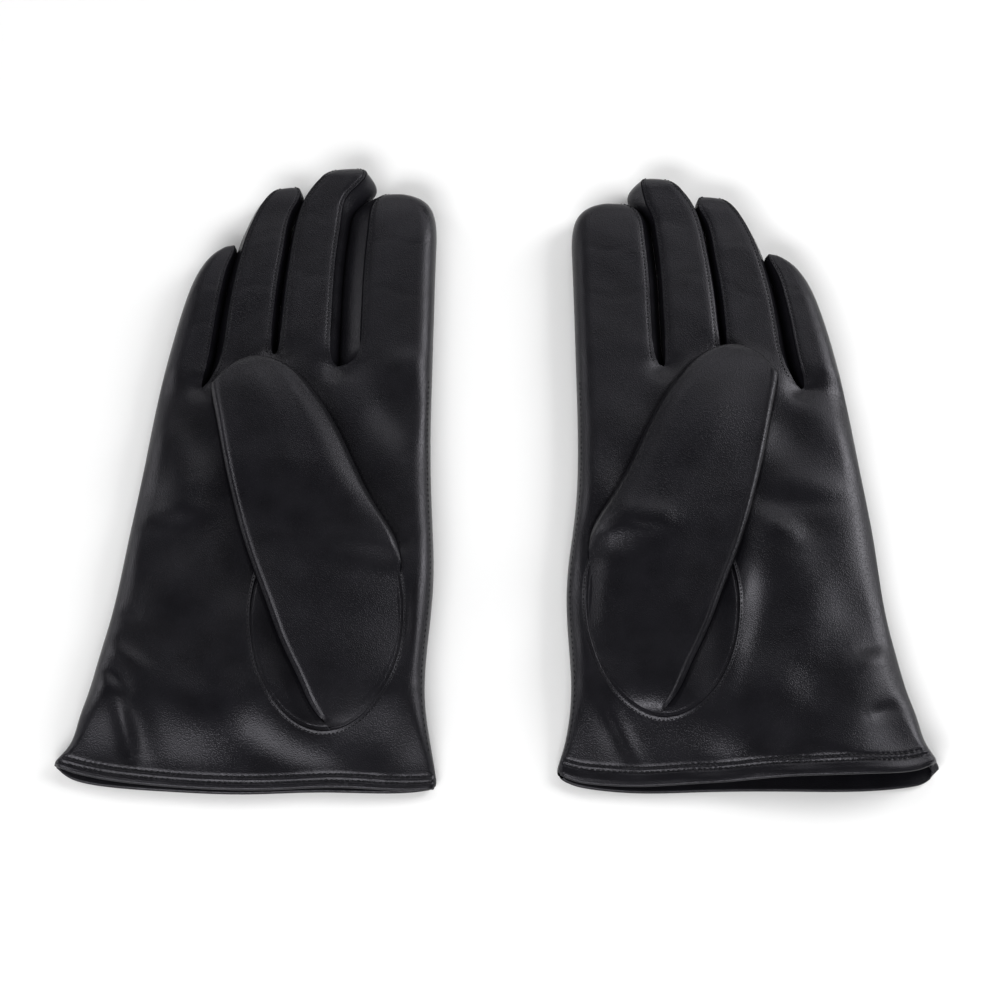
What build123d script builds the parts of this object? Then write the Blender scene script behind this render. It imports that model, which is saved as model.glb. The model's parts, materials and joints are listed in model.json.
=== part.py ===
from build123d import *
import math
import os

# A pair of lined leather dress gloves, lying palm up, with the thumbs folded over the palms.
# Each glove is made of a trank (palm and back in one piece), finger leathers, fourchettes
# (the side walls between the fingers), a thumb set into an oval hole, a turned hem, a lining
# and its sewing thread. The leather is cut at the knuckle creases and at the thumb's fold,
# where the glove bends, so that each finger and each thumb can turn.
#
# Frame: +Z up, +Y towards the fingertips, origin at the bottom centre of the pair.
# Each glove is drawn in its own plan: u runs from the index-finger edge to the little-finger
# edge, v from the hem to the fingertips. The right glove is the mirror image at -X.

# ---------------------------------------------------------------- driving dimensions, in mm
LEATHER = 1.0            # leather thickness
PLY_GAP = 0.1            # leather to lining
LINING = 0.8             # lining thickness
GLOVE_H = 14.0           # height of the palm and fingers as they lie
SIDE_ROUND = 4.5         # rounding of the glove's sides
HALF_GAP = 26.75         # from the pair's middle to each glove's index edge
TIP_V = 247.0            # hem to the middle fingertip
HEM_ROLL = 2.0           # how far the rolled hem stands past v = 0
HEM_DEPTH = 12.0         # depth of the turned-in facing
KNUCKLE_CLEAR = 0.4      # gap across each bending crease
FINGER_GAP = 1.6         # gap between neighbouring fingers
V_CENTRE = (TIP_V - HEM_ROLL) / 2

# Fingers: centre of the knuckle crease (u, v), apex (u, v), width at the crease and near the tip.
FINGERS = {
    "index": ((16.6, 168.5), (14.0, 238.0), 33.0, 26.0),
    "middle": ((46.3, 170.0), (36.5, TIP_V), 22.0, 20.6),
    "ring": ((70.2, 169.5), (60.5, 239.0), 21.6, 18.6),
    "little": ((92.6, 158.5), (81.6, 214.5), 17.4, 14.2),
}
# Which sides of a finger have a fourchette: low is the index side, high the little side.
# A seam runs along every side but the little finger's outer one, which is a fold.
FOURCHETTE_SIDES = {
    "index": ("high",),
    "middle": ("low", "high"),
    "ring": ("low", "high"),
    "little": ("low",),
}
SEAM_SIDES = {
    "index": ("low", "high"),
    "middle": ("low", "high"),
    "ring": ("low", "high"),
    "little": ("low",),
}
FOURCHETTE_Z = (2.5, 11.5)   # the fourchette's lower and upper seams
FOURCHETTE_SHORT = 14.0      # how far the fourchette stops short of the fingertip

# The palm's two side edges, from beyond the hem to beyond the knuckles, and the line through
# the crotches between the fingers.
INDEX_EDGE = [(-5.0, -8), (-3.0, 12), (0.3, 45), (0.0, 100), (0.0, 180)]
LITTLE_EDGE = [(133.5, -8), (125.5, 15), (116.5, 50), (110.0, 95), (103.4, 150), (99.4, 180)]
CROTCH_LINE = [(-60.0, 160.0), (35.0, 163.0), (58.5, 167.0), (84.5, 153.5), (120.0, 146.0)]
STUB_BACK = 14.0         # how far each finger's stub runs back into the palm

# Thumb: the corners of its plan, each with its rounding, from the low end of the fold round
# the seat, the index side, the tip and the free edge.
THUMB_CORNERS = [
    ((34.5, 21.5), 4.0), ((16.0, 28.5), 14.0), ((7.0, 60.0), 25.0), ((8.0, 88.0), 25.0),
    ((48.0, 162.0), 14.0), ((75.5, 166.0), 10.0), ((79.0, 146.0), 14.0), ((63.5, 84.0), 80.0),
]
THUMB_FOLD = ((34.0, 21.0), (5.5, 88.0))   # the fold line that the thumb turns about
THUMB_Z = (15.0, 26.0)                     # the thumb's lower and upper faces
THUMB_ROUND = 3.0
THUMB_CLEAR = 0.4
OVAL_CENTRE = (33.5, 64.0)                 # the oval hole in the palm that holds the thumb
OVAL_RADII = (29.5, 45.5)

# Sewing thread
THREAD_W = 0.6
THREAD_H = 0.4
HEM_ROWS = (4.6, 8.2)      # the two stitched rows above the hem


# ---------------------------------------------------------------- plan helpers
def prism(face, low, high):
    """A plan face raised from height low to height high."""
    return Pos(0, 0, low) * extrude(face, amount=high - low, dir=(0, 0, 1))


def rounded_prism(face, low, high, radius, keep_square):
    """A prism with its long top and bottom edges rounded. keep_square says which ends stay sharp."""
    solid = prism(face, low, high)
    flat = [e for e in solid.edges() if abs(e.center().Z - low) < 1e-3 or abs(e.center().Z - high) < 1e-3]
    picked = [e for e in flat if not keep_square(e)]
    return fillet(picked, radius)


def half_plane(origin, direction, side, reach=400.0):
    """The plan to one side of a line: side +1 is to the left of its direction."""
    along = Vector(*direction, 0).normalized()
    across = Vector(-along.Y, along.X, 0) * side
    o = Vector(*origin, 0)
    corners = [o - along * reach, o + along * reach,
               o + along * reach + across * reach, o - along * reach + across * reach]
    return make_face(Polyline(*[(c.X, c.Y) for c in corners], close=True))


def slab(low, high, reach=600.0):
    """Everything between two heights."""
    return Pos(0, 0, low) * Box(reach, reach, high - low, align=(Align.CENTER, Align.CENTER, Align.MIN))


# ---------------------------------------------------------------- fingers
class Finger:
    """A finger's own plan frame: s runs along it from the knuckle crease, t across it."""

    def __init__(self, name):
        self.name = name
        base, apex, self.base_width, self.tip_width = FINGERS[name]
        self.base = Vector(*base, 0)
        run = Vector(*apex, 0) - self.base
        self.length = run.length
        self.along = run.normalized()
        self.across = Vector(self.along.Y, -self.along.X, 0)

    def point(self, s, t):
        p = self.base + self.along * s + self.across * t
        return (p.X, p.Y)

    def plan(self, inset, back):
        """The finger's outline, drawn in by inset all round and run back past the crease."""
        tip_half = self.tip_width / 2 - inset
        base_half = self.base_width / 2 - inset
        shoulder = self.length - self.tip_width / 2
        back_half = base_half + (base_half - tip_half) * back / shoulder
        low = Line(self.point(-back, -back_half), self.point(shoulder, -tip_half))
        tip = ThreePointArc(self.point(shoulder, -tip_half), self.point(self.length - inset, 0),
                            self.point(shoulder, tip_half))
        high = Line(self.point(shoulder, tip_half), self.point(-back, back_half))
        base = Line(self.point(-back, back_half), self.point(-back, -back_half))
        return make_face(low + tip + high + base)

    def solid(self, inset, back):
        """The closed finger shape, drawn in by inset on every side."""
        face = self.plan(inset, back)

        def at_base(edge):
            return (edge.center() - self.base).dot(self.along) < -back + 0.5

        return rounded_prism(face, inset, GLOVE_H - inset, SIDE_ROUND - inset, at_base)

    def beyond(self, s):
        """The plan beyond a line across the finger."""
        return half_plane(self.point(s, 0), (self.across.X, self.across.Y), 1)

    def ply(self, outer, inner):
        """One layer of the finger, open at the knuckle crease."""
        shell = self.solid(outer, 6.0) - self.solid(inner, 9.0)
        return shell & prism(self.beyond(KNUCKLE_CLEAR), 0, GLOVE_H)

    def side_wall(self, side):
        """The space that one fourchette takes: a side of the finger, between its two seams."""
        sign = 1 if side == "high" else -1
        end = self.length - FOURCHETTE_SHORT
        corners = [self.point(0, 0), self.point(end, 0), self.point(end, sign * 40), self.point(0, sign * 40)]
        face = make_face(Polyline(*corners, close=True))
        return prism(face, *FOURCHETTE_Z)

    def thread(self, side):
        """The seam thread along one side of the finger's palm face."""
        sign = 1 if side == "high" else -1
        start, end = 4.0, self.length - self.tip_width / 2
        rows = []
        for s, width in ((start, self.base_width), (end, self.tip_width)):
            edge = width / 2 - SIDE_ROUND - THREAD_W
            rows.append([self.point(s, sign * edge), self.point(s, sign * (edge - THREAD_W))])
        face = make_face(Polyline(rows[0][0], rows[0][1], rows[1][1], rows[1][0], close=True))
        return prism(face, GLOVE_H, GLOVE_H + THREAD_H)


def finger_nodes(name):
    """The sub-parts of one finger: its leather, its fourchettes, its lining and its thread."""
    finger = Finger(name)
    leather = finger.ply(0, LEATHER)
    nodes = {}
    for side in FOURCHETTE_SIDES[name]:
        wall = finger.side_wall(side)
        label = f"{name}_fourchette" if len(FOURCHETTE_SIDES[name]) == 1 else f"{name}_fourchette_{side}"
        nodes[label] = leather & wall
        leather = leather - wall
    nodes[f"{name}_leather"] = leather
    nodes[f"{name}_lining"] = finger.ply(LEATHER + PLY_GAP, LEATHER + PLY_GAP + LINING)
    nodes[f"{name}_stitching"] = Compound(children=[finger.thread(s) for s in SEAM_SIDES[name]])
    return nodes


# ---------------------------------------------------------------- palm
def palm_plan(inset, start_v):
    """The palm between its two side edges and the crotch line, drawn in by inset."""
    low_edge = Spline(*[(u + inset, v) for u, v in INDEX_EDGE])
    high_edge = Spline(*[(u - inset, v) for u, v in LITTLE_EDGE])
    whole = make_face(low_edge + Line(low_edge @ 1, high_edge @ 1) + high_edge + Line(low_edge @ 0, high_edge @ 0))
    ends = [(-60.0, start_v)] + [(u, v - inset) for u, v in CROTCH_LINE] + [(120.0, 60.0), (200.0, start_v)]
    return whole & make_face(Polyline(*ends, close=True))


def palm_solid(inset, start_v=-6.0):
    """The closed palm shape, with its index and little sides rounded."""
    side_faces = palm_plan(inset, start_v)

    def at_an_end(edge):
        return abs(edge.tangent_at(0.5).X) > 0.8

    return rounded_prism(side_faces, inset, GLOVE_H - inset, SIDE_ROUND - inset, at_an_end)


def band(low_v, high_v):
    """Everything between two distances from the hem."""
    window = make_face(Polyline((-60, low_v), (200, low_v), (200, high_v), (-60, high_v), close=True))
    return prism(window, -1, 30)


def knuckle_trim():
    """What the palm may fill: everything from the hem to each finger's crease."""
    keep = make_face(Polyline((-60, 0), (200, 0), (200, 200), (-60, 200), close=True))
    order = [Finger(n) for n in FINGERS]
    for i, finger in enumerate(order):
        reach = (finger.base_width + FINGER_GAP) / 2
        low_t = -60.0 if i == 0 else -reach
        high_t = 60.0 if i == len(order) - 1 else reach
        corners = [finger.point(0, low_t), finger.point(0, high_t), finger.point(120, high_t), finger.point(120, low_t)]
        keep = keep - make_face(Polyline(*corners, close=True))
    return prism(keep, 0, GLOVE_H)


def hand_shape(inset, start_v):
    """The palm run on as four finger stubs that reach past the creases."""
    whole = palm_solid(inset, start_v)
    for name in FINGERS:
        whole = whole + Finger(name).solid(inset, STUB_BACK)
    return whole


# ---------------------------------------------------------------- thumb
def thumb_plan(inset):
    """The folded thumb in plan, drawn in by inset."""
    face = make_face(Polyline(*[corner for corner, _ in THUMB_CORNERS], close=True))
    for (u, v), radius in THUMB_CORNERS:
        nearest = min(face.vertices(), key=lambda q: math.hypot(q.X - u, q.Y - v))
        face = fillet(nearest, radius)
    return offset(face, amount=-inset) if inset else face


def thumb_solid(inset, low, high):
    """The thumb as a closed shape between two heights, with its edges rounded."""
    return rounded_prism(thumb_plan(inset), low, high, THUMB_ROUND - inset, lambda edge: False)


def fold_side(side, clear):
    """The plan on one side of the thumb's fold line: +1 is the thumb, -1 is its seat."""
    (u0, v0), (u1, v1) = THUMB_FOLD
    along = Vector(u1 - u0, v1 - v0, 0).normalized()
    shift = Vector(along.Y, -along.X, 0) * side * clear
    return half_plane((u0 + shift.X, v0 + shift.Y), (along.X, along.Y), -side)


def thumb_ply(outer, inner):
    """One layer of the loose part of the thumb, open along its fold."""
    low, high = THUMB_Z
    shell = thumb_solid(outer, low + outer, high - outer) - thumb_solid(inner, low + inner, high - inner)
    return shell & prism(fold_side(1, THUMB_CLEAR), 0, high)


def oval(grow):
    """The thumb hole's outline, grown by an amount."""
    u, v = OVAL_CENTRE
    return Pos(u, v, 0) * Ellipse(OVAL_RADII[0] + grow, OVAL_RADII[1] + grow).face()


def thumb_seat():
    """The sewn-in part of the thumb: a gusset that fills the oval and a domed wall on its index side."""
    top = THUMB_Z[1]
    seat_plan = fold_side(-1, 0.0)
    dome = prism(thumb_plan(0) & seat_plan, GLOVE_H, top - 0.5)
    room = prism(thumb_plan(LEATHER) & seat_plan, GLOVE_H - 3, top - 0.5 - LEATHER)
    fold_mouth = prism(thumb_plan(LEATHER) & fold_side(-1, -3.0), GLOVE_H, top - 0.5 - LEATHER)
    gusset = prism(oval(0), GLOVE_H - LEATHER, GLOVE_H)
    return (dome + gusset) - room - (fold_mouth & prism(seat_plan, 0, top))


# ---------------------------------------------------------------- one glove
def glove_nodes():
    """Every sub-part of one glove, in its own plan frame."""
    trim = knuckle_trim()
    lined = LEATHER + PLY_GAP
    nodes = {}
    nodes["trank"] = ((hand_shape(0, -6) - hand_shape(LEATHER, -9)) & trim) - prism(oval(0), GLOVE_H - 2, GLOVE_H + 1)

    lining = (hand_shape(lined, -6) - hand_shape(lined + LINING, -9)) & trim & band(HEM_DEPTH, 200)
    nodes["palm_lining"] = lining - prism(oval(-2.0), GLOVE_H - 3, GLOVE_H + 1)

    facing = (palm_solid(lined) - palm_solid(lined + LINING, -9)) & band(-HEM_ROLL, HEM_DEPTH - 0.2)
    roll = (palm_solid(0) - palm_solid(lined + LINING, -9)) & band(-HEM_ROLL, 0)
    nodes["hem"] = facing + roll

    proud = (palm_solid(-THREAD_H) - palm_solid(0, -9)) & slab(0.3, 30)
    nodes["hem_stitching"] = Compound(children=[proud & band(v, v + THREAD_W) for v in HEM_ROWS])
    index_side = prism(make_face(Polyline((-60, 14), (20, 14), (20, 148), (-60, 148), close=True)), 6.7, 7.3)
    nodes["side_seam_stitching"] = proud & index_side

    ring = prism(oval(1.6), GLOVE_H, GLOVE_H + THREAD_H) - prism(oval(1.0), GLOVE_H, GLOVE_H + THREAD_H)
    nodes["thumb_hole_stitching"] = ring
    nodes["thumb_seat"] = thumb_seat()

    nodes["thumb_leather"] = thumb_ply(0, LEATHER)
    nodes["thumb_lining"] = thumb_ply(lined, lined + LINING)
    low, high = THUMB_Z
    middle = (low + high) / 2
    edge = prism(offset(thumb_plan(0), amount=THREAD_H), middle, middle + THREAD_W) - prism(thumb_plan(0), low, high)
    window = make_face(Polyline((38, 40), (120, 40), (120, 150), (66, 150), close=True))
    nodes["thumb_stitching"] = edge & prism(window, low, high)

    for name in FINGERS:
        nodes.update(finger_nodes(name))
    return nodes


def place(shape, side):
    """Moves a sub-part from the glove's plan to its place in the pair: side +1 left glove, -1 right."""
    moved = Pos(HALF_GAP, -V_CENTRE, 0) * shape
    return moved if side > 0 else mirror(moved, about=Plane.YZ)


os.makedirs("parts", exist_ok=True)
made = glove_nodes()
for hand, side in (("left", 1), ("right", -1)):
    for node, shape in made.items():
        solids = [s for s in place(shape, side).solids()]
        export_step(Compound(children=solids), f"parts/{hand}_{node}.step")
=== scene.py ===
"""A pair of black, lined leather dress gloves that lie palm up with their thumbs folded over the palms.

The leather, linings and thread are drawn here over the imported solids. Every glove is worked out in its own
plan, in millimetres: u runs from the index-finger side to the little-finger side, v from the hem to the
fingertips and z up from the table. place() turns that into the row frame, in metres. Both gloves come from the
same outlines; the right one is their mirror image, and each is skewed a little its own way by lean().
"""
import json
import math

import bpy
import numpy as np
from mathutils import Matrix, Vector


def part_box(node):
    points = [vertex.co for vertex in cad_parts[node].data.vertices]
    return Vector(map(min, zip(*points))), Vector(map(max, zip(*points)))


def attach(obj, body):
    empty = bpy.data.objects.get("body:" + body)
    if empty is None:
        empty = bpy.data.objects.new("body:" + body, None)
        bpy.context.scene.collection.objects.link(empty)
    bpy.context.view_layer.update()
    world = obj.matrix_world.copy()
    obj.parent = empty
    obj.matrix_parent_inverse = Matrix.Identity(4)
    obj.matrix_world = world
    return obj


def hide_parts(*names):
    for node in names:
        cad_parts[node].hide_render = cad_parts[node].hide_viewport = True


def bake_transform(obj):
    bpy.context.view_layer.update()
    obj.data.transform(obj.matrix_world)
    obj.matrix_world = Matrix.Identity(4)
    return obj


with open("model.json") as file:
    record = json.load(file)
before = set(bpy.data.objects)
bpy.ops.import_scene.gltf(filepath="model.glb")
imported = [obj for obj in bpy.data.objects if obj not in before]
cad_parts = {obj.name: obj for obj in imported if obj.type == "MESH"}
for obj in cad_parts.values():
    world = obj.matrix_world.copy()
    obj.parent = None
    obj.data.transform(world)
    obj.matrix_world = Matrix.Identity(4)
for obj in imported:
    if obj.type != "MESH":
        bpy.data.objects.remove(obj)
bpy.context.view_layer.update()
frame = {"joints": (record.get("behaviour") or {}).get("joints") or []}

MM = 0.001
HANDS = ("right", "left")
FINGERS = ("index", "middle", "ring", "little")

# ------------------------------------------------------------------ the plan of a glove
# A glove is cut to a plan: its two sides, the crotches between its fingers and a rounded tip for each. The two
# gloves of a pair are cut alike and then lie a little differently, so the plan is their mean, leant each way.
hem_low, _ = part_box("left_hem")
HEM_ROLL = 2.0                                       # the hem's roll, beyond v = 0
V_CENTRE = -hem_low.y / MM - HEM_ROLL                # v at the row frame's origin
INDEX_AT_HEM = -5.1                                  # u of the index edge at the hem
HALF_GAP = hem_low.x / MM - INDEX_AT_HEM             # x of the line u = 0 on the left glove
# The two sides, from the hem to the fingertips, as (u, v).
INDEX_SIDE = [(-6.4, -1.0), (-4.5, 11), (-1.3, 32), (-2.3, 60), (-2.9, 80), (-1.0, 104), (0.2, 135), (-0.1, 161),
              (-0.6, 190), (-1.1, 213), (-0.9, 224.5), (2.0, 232.8), (7.6, 236.4), (15, 237)]
LITTLE_SIDE = [(137, -1.0), (130.8, 10), (125.6, 17), (122.5, 27), (120.3, 34), (117, 48), (113.9, 63), (110, 94),
               (105.7, 126), (102.4, 151), (98.2, 174), (94.2, 191), (91.0, 200.6), (88, 206.4), (84, 211.1),
               (78, 214.5)]
CROTCHES = [(34.3, 163.5), (57.8, 168.5), (85.4, 154.3)]
BASE_V = (161.0, 151.0)                              # where the index and little fingers start on the two sides
# The lines on which neighbouring fingers meet, beyond each crotch, and each finger's own rounding to its apex.
BETWEEN = [
    [(33.7, 184), (33.0, 206), (31.6, 222), (29.2, 231.4)],
    [(56.9, 187), (55.6, 202), (54.0, 215), (51.4, 229)],
    [(82.3, 165), (80.4, 180), (78.6, 194), (76.5, 205)],
]
TIP_LOW = {
    "middle": [(24.1, 237.0), (21.9, 241.4), (24.9, 246.3), (33, 248)],
    "ring": [(49.0, 236.6), (50.0, 239.0), (55, 239.6)],
    "little": [(74.8, 210.8), (75.0, 213.9), (78, 214.5)],
}
TIP_HIGH = {
    "index": [(22.7, 236.0), (15, 237)],
    "middle": [(47.9, 237.6), (45.2, 241.4), (40, 246.0), (33, 248)],
    "ring": [(73.3, 217.5), (70.1, 226), (66, 233.8), (61.4, 238.0), (55, 239.6)],
}
FINGER_GAP = 0.06                                    # between neighbouring fingers
LEAN = {"right": 1.0, "left": -1.0}                  # which way each glove is skewed from the mean
FLARE = {"right": (0.0, 1.7), "left": (1.4, -1.3)}   # how far each glove's two cuff corners stand out from the mean
FLARE_AT = (7.0, 8.0)                                # where along v, and over what length


def ease(x):
    """A smooth step: 3x^2 - 2x^3 of x held between 0 and 1."""
    x = np.clip(x, 0, 1)
    return x * x * (3 - 2 * x)


def spline(points, at):
    """Points on the smooth curve through the given ones, where `at` runs from 0 to 1 along it.

    A natural cubic spline over chord length c: between knots k and k + 1, h apart, the curve is
    (m[k] e^3 + m[k+1] d^3) / 6h + (p[k]/h - m[k] h/6) e + (p[k+1]/h - m[k+1] h/6) d, with d and e the distances
    to the two knots and the second derivatives m found from equal slopes at every inner knot."""
    p = np.asarray(points, float)
    h = np.linalg.norm(np.diff(p, axis=0), axis=1)
    c = np.concatenate([[0], np.cumsum(h)])
    n = len(p)
    left, right = np.eye(n), np.zeros_like(p)
    slope = np.diff(p, axis=0) / h[:, None]
    for k in range(1, n - 1):
        left[k, k - 1:k + 2] = h[k - 1], 2 * (h[k - 1] + h[k]), h[k]
        right[k] = 6 * (slope[k] - slope[k - 1])
    m = np.linalg.solve(left, right)
    x = np.clip(at, 0, 1) * c[-1]
    k = np.clip(np.searchsorted(c, x, side="right") - 1, 0, n - 2)
    d, hk = (x - c[k])[:, None], h[k][:, None]
    e = hk - d
    return ((m[k] * e**3 + m[k + 1] * d**3) / (6 * hk)
            + (p[k] / hk - m[k] * hk / 6) * e + (p[k + 1] / hk - m[k + 1] * hk / 6) * d)


def resample(path, at):
    """Points of a fine polyline at parts `at`, 0 to 1, of its length."""
    run = np.concatenate([[0], np.cumsum(np.linalg.norm(np.diff(path, axis=0), axis=1))])
    return np.stack([np.interp(at * run[-1], run, path[:, k]) for k in range(path.shape[1])], -1)


def lean(hand, points):
    """Skews plan points the way this glove lies: its wrist to one side, its fingers fanned and a little longer or
    shorter. Each part is a smooth step in v, and the fan is also sin^2 of the way across the palm."""
    points = np.asarray(points, float)
    u, v = points[..., 0], points[..., 1]
    wrist = 2.0 - 1.9 * ease((v - 45) / 75)
    fan = 1.5 * np.sin(np.pi * np.clip(u / 100, 0, 1)) ** 2 * ease((v - 140) / 30)
    spread = 0.45 * (2 * np.clip(u / 100, 0, 1) - 1) * ease((v - 70) / 50)
    grow = 2.1 * ease((v - 165) / 60)
    return np.stack([u + LEAN[hand] * (wrist + fan + spread), v + LEAN[hand] * grow - 0.6 * ease((v - 200) / 30)], -1)


FINE = np.linspace(0, 1, 600)


class Plan:
    """One glove's outlines: its two sides, its crotches, and both sides of each finger as fine polylines."""

    def __init__(self, hand):
        self.hand = hand
        self.side = 1 if hand == "left" else -1
        low = spline(lean(hand, INDEX_SIDE), FINE)
        high = spline(lean(hand, LITTLE_SIDE), FINE)
        self.low, self.high = low, high
        crotches = lean(hand, CROTCHES)
        starts = [self.side_point(low, BASE_V[0]), *crotches, self.side_point(high, BASE_V[1])]
        self.base = np.array(starts)
        self.finger_sides = {}
        for k, name in enumerate(FINGERS):
            self.finger_sides[name] = (
                self.finger_side(low if k == 0 else self.shared(k - 1, TIP_LOW[name], 1), self.base[k], k == 0),
                self.finger_side(high if k == 3 else self.shared(k, TIP_HIGH[name], -1), self.base[k + 1], k == 3),
            )

    @staticmethod
    def shared(k, tip, way):
        """A finger's side along the line it shares with its neighbour, moved off it by half the gap."""
        return [(u + way * FINGER_GAP / 2, v) for u, v in BETWEEN[k]] + tip

    @staticmethod
    def side_point(side, v):
        """The point of a glove side that is v from the hem, below the fingertips."""
        rising = side[: np.argmax(side[:, 1])]
        return np.array([np.interp(v, rising[:, 1], rising[:, 0]), v])

    def finger_side(self, points, start, on_side):
        """A finger's side from its base to its apex: part of a side of the glove, or a spline from a crotch."""
        if on_side:
            return np.vstack([start, points[points[:, 1] > start[1] + 0.2]])
        return spline(np.vstack([start, lean(self.hand, points)]), FINE)

    def edges(self, v):
        """u of the index side and of the little side at distances v from the hem."""
        out = []
        for side, way, flare in zip((self.low, self.high), (-1, 1), FLARE[self.hand]):
            rising = side[: np.argmax(side[:, 1])]
            at_hem = np.exp(-(((v - FLARE_AT[0]) / FLARE_AT[1]) ** 2))
            out.append(np.interp(v, rising[:, 1], rising[:, 0]) + way * flare * at_hem)
        return out


PLANS = {hand: Plan(hand) for hand in HANDS}

# ------------------------------------------------------------------ the trank
# The palm and back of the hand are one piece of thin, smooth, black leather, folded round the little-finger
# side and seamed along the index side. It lies nearly flat, and falls towards the hem where the cuff is empty.
FLOOR_Z = 0.25          # the back leather, just off the table
CROWN = 13.4            # the palm's height where it is full
FULL_AT = 38.0          # distance from the hem at which the palm is full
INDEX_ROUND = 6.5       # rounding of the palm at the index seam
LITTLE_ROUND = 7.5      # rounding of the palm at the little-finger fold
FALL, FALL_REACH = {"right": 1.6, "left": 3.2}, 22.0   # how the palm slopes down towards that fold
CROTCH_DIP = 2.1        # how far the leather is pulled down, and up from the back, at each crotch
CROTCH_REACH = 5.0
ROWS = 190
FINGER_COLUMNS = 48
# The cuff's opening at the hem, as (u, height of the palm-side edge).
CUFF = {
    "right": [(-6, 3.6), (20, 4.6), (70, 5.0), (105, 4.8), (135, 3.6)],
    "left": [(-10, 3.4), (15, 4.6), (42, 6.2), (70, 10.0), (90, 12.8), (108, 12.6), (120, 10.8), (132, 9.0)],
}
# Where the hem's edge runs on the palm side and on the back, as (u, v).
HEM_EDGE = {
    "right": [(-4, 2.4), (3, 1.8), (20, 2.0), (36, 2.5), (54, 1.7), (72, 1.7), (92, 2.9), (113, 5.2), (126, 8.0),
              (135, 10.6)],
    "left": [(-9, 7.4), (-3, 5.2), (8, 3.4), (25, 2.9), (43, 3.7), (60, 4.5), (78, 5.2), (91, 5.2), (104, 5.5),
             (118, 7.0), (127, 9.7), (132, 11.4)],
}
BACK_EDGE = {
    "right": [(-4, 2.8), (3, 1.8), (20, 1.3), (40, 1.6), (64, 0.9), (92, 1.9), (114, 3.7), (126, 6.2), (135, 10.4)],
    "left": [(-9, 6.6), (-3, 4.2), (3, 2.9), (20, 1.3), (43, 1.7), (79, 1.9), (115, 3.2), (125, 5.8), (132, 11.0)],
}
STITCH_ROWS = {"right": (1.7, 3.9), "left": (4.2, 5.9)}   # the hem's two rows of stitching, from its edge
CORNER = 3.4            # rounding of the cuff's two corners, seen from above
PUCKER = 0.5            # depth the stitching pulls the leather down, and from one pucker to the next
PUCKER_PITCH = 2.0
# Folds and hollows in the palm: height, ends of the line they run along, width.
RELIEF = {
    "right": [
        (-1.3, (117, 47), (104, 33), 3.0), (0.9, (113, 52), (99, 41), 3.5), (-1.5, (111, 34), (105, 12), 3.0),
        (1.0, (105, 36), (98, 10), 4.0), (0.9, (60, 29), (24, 6), 6.5), (-0.9, (70, 22), (38, 2), 6.0),
        (-0.4, (104, 99), (86, 97), 3.2), (0.5, (102, 106), (80, 104), 4.0), (-0.5, (112, 67), (103, 63), 2.5),
        (-0.8, (6, 95), (12, 88), 3.0), (0.9, (4.5, 76), (3.5, 38), 3.0), (-0.6, (90, 60), (70, 40), 12.0),
        (0.6, (96, 140), (88, 118), 7.0), (-0.5, (20, 150), (8, 130), 6.0), (0.7, (84, 30), (66, 16), 8.0),
    ],
    "left": [
        (1.65, (62, 92), (53, 36), 4.6), (-0.8, (71, 88), (64, 40), 5.5), (1.1, (80, 98), (84, 58), 7.5),
        (-0.5, (93, 90), (97, 62), 7.0), (0.9, (103, 24), (80, 54), 7.5), (-0.55, (98, 50), (111, 54), 3.0),
        (0.45, (99, 44), (112, 48), 3.4), (-0.9, (103, 26), (115, 30), 2.6), (0.35, (66, 116), (101, 113), 4.5),
        (-0.4, (68, 108), (100, 107), 3.5), (0.9, (68, 102), (82, 92), 4.5), (-1.0, (9, 31), (21, 9), 3.0),
        (1.0, (4, 34), (14, 14), 4.0), (0.8, (75, 19), (97, 11), 5.0), (-0.6, (40, 14), (60, 6), 6.0),
    ],
}
RIPPLES = 7             # slow swells over the whole hide
RIPPLE_HEIGHT = 0.22
random = np.random.default_rng(7)
ripple_angle = random.uniform(0, math.pi, RIPPLES)
ripple_length = random.uniform(17, 46, RIPPLES)
ripple_phase = random.uniform(0, 2 * math.pi, (2, RIPPLES))


def near_line(u, v, start, end):
    """How near plan points are to a line, as distance across it and part 0 to 1 along it."""
    start, end = np.array(start, float), np.array(end, float)
    run = end - start
    part = ((u - start[0]) * run[0] + (v - start[1]) * run[1]) / (run @ run)
    held = np.clip(part, 0, 1)
    return np.hypot(u - start[0] - held * run[0], v - start[1] - held * run[1]), held


def relief(hand, u, v):
    """The palm's soft folds and swells: a sum of a exp(-(d/w)^2) over lines and of slow sine waves."""
    out = np.zeros_like(u)
    for height, start, end, width in RELIEF[hand]:
        across, part = near_line(u, v, start, end)
        out += height * np.exp(-(across / width) ** 2) * (0.3 + 0.7 * np.sin(np.pi * part))
    row = HANDS.index(hand)
    for angle, length, phase in zip(ripple_angle, ripple_length, ripple_phase[row]):
        out += RIPPLE_HEIGHT * np.sin(2 * np.pi * (u * math.cos(angle) + v * math.sin(angle)) / length + phase)
    return out


def rounded(distance, radius):
    """The profile of a round edge: sqrt(1 - (1 - d/r)^2) up to r from the edge, then 1."""
    return np.sqrt(np.clip(1 - (1 - np.clip(distance / radius, 0, 1)) ** 2, 0, 1))


def lookup(table, u):
    """A smooth height table, read at u."""
    knots = np.array(table, float)
    fine = spline(knots, FINE)
    return np.interp(u, fine[:, 0], fine[:, 1])


def crotch_pull(plan, u, v):
    """1 at a crotch, falling to 0 round it."""
    out = np.zeros_like(u)
    for cu, cv in plan.base[1:-1]:
        out += np.exp(-((u - cu) ** 2 + (v - cv) ** 2) / CROTCH_REACH**2)
    return out


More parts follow.
